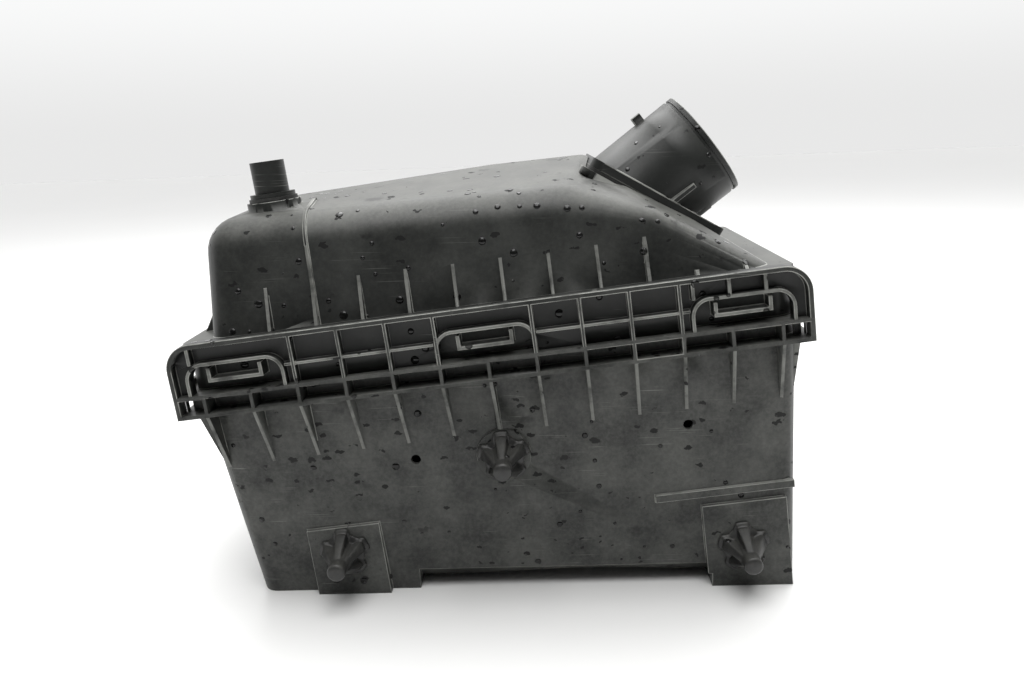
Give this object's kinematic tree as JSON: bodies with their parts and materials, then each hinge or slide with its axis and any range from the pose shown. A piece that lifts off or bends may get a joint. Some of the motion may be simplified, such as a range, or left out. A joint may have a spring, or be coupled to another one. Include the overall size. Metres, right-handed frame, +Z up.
{
  "type": "air filter housing",
  "caption": "Moulded air filter housing with a ribbed lower case, a tilting cover held by spring clips, a pleated panel filter, an angled outlet tube and finned mounting pegs.",
  "frame": {"origin": "under the middle of the whole assembly, on the surface that it stands on", "axes": "+X along the ribbed flange towards the outlet tube, +Y from the ribbed front wall to the spring clips, +Z up"},
  "size_m": [0.34, 0.2264, 0.2716],
  "materials": {
    "case_plastic": "dusty moulded charcoal plastic",
    "cover_plastic": "dusty moulded charcoal plastic",
    "tube_plastic": "moulded charcoal plastic",
    "nipple_plastic": "clean dark plastic",
    "black_rubber": "black rubber",
    "peg_rubber": "hard black rubber",
    "rim_rubber": "soft dark polyurethane",
    "zinc_steel": "zinc plated",
    "spring_steel": "bright spring steel strip",
    "pin_steel": "plain steel",
    "insert_brass": "knurled brass",
    "filter_paper": "resin coated filter paper",
    "bead_plastic": "hot melt glue"
  },
  "bodies": {
    "case": {"lower_case": "case_plastic", "case_screen": "case_plastic", "filter_media": "filter_paper", "filter_rim": "rim_rubber", "pleat_beads": "bead_plastic", "latch_pin_left": "pin_steel", "latch_pin_centre": "pin_steel", "latch_pin_right": "pin_steel", "mount_peg_left": "peg_rubber", "mount_peg_centre": "peg_rubber", "mount_peg_right": "peg_rubber"},
    "lid": {"cover": "cover_plastic", "outlet_tube": "tube_plastic", "outlet_gasket": "black_rubber", "outlet_screws": "zinc_steel", "outlet_inserts": "insert_brass", "breather_nipple": "nipple_plastic", "breather_grommet": "black_rubber"},
    "latch_left": {"latch_clip_left": "spring_steel"},
    "latch_centre": {"latch_clip_centre": "spring_steel"},
    "latch_right": {"latch_clip_right": "spring_steel"}
  },
  "joints": [
    {"name": "lid_hinge", "type": "hinge", "parent": "case", "child": "lid", "pos_m": [-0.00123, -0.09155, 0.15473], "axis": [0.9951, 0, 0.0993], "range_deg": [0, 12]},
    {"name": "latch_left", "type": "hinge", "parent": "case", "child": "latch_left", "pos_m": [-0.09855, 0.1072, 0.12291], "axis": [-0.9951, 0, -0.0993], "range_deg": [0, 132]},
    {"name": "latch_centre", "type": "hinge", "parent": "case", "child": "latch_centre", "pos_m": [0.00096, 0.1072, 0.13284], "axis": [-0.9951, 0, -0.0993], "range_deg": [0, 132]},
    {"name": "latch_right", "type": "hinge", "parent": "case", "child": "latch_right", "pos_m": [0.10046, 0.1072, 0.14277], "axis": [-0.9951, 0, -0.0993], "range_deg": [0, 132]}
  ],
  "couplings": [
    {"joint": "latch_left", "follows": "lid_hinge", "ratio": 11},
    {"joint": "latch_centre", "follows": "lid_hinge", "ratio": 11},
    {"joint": "latch_right", "follows": "lid_hinge", "ratio": 11}
  ]
}
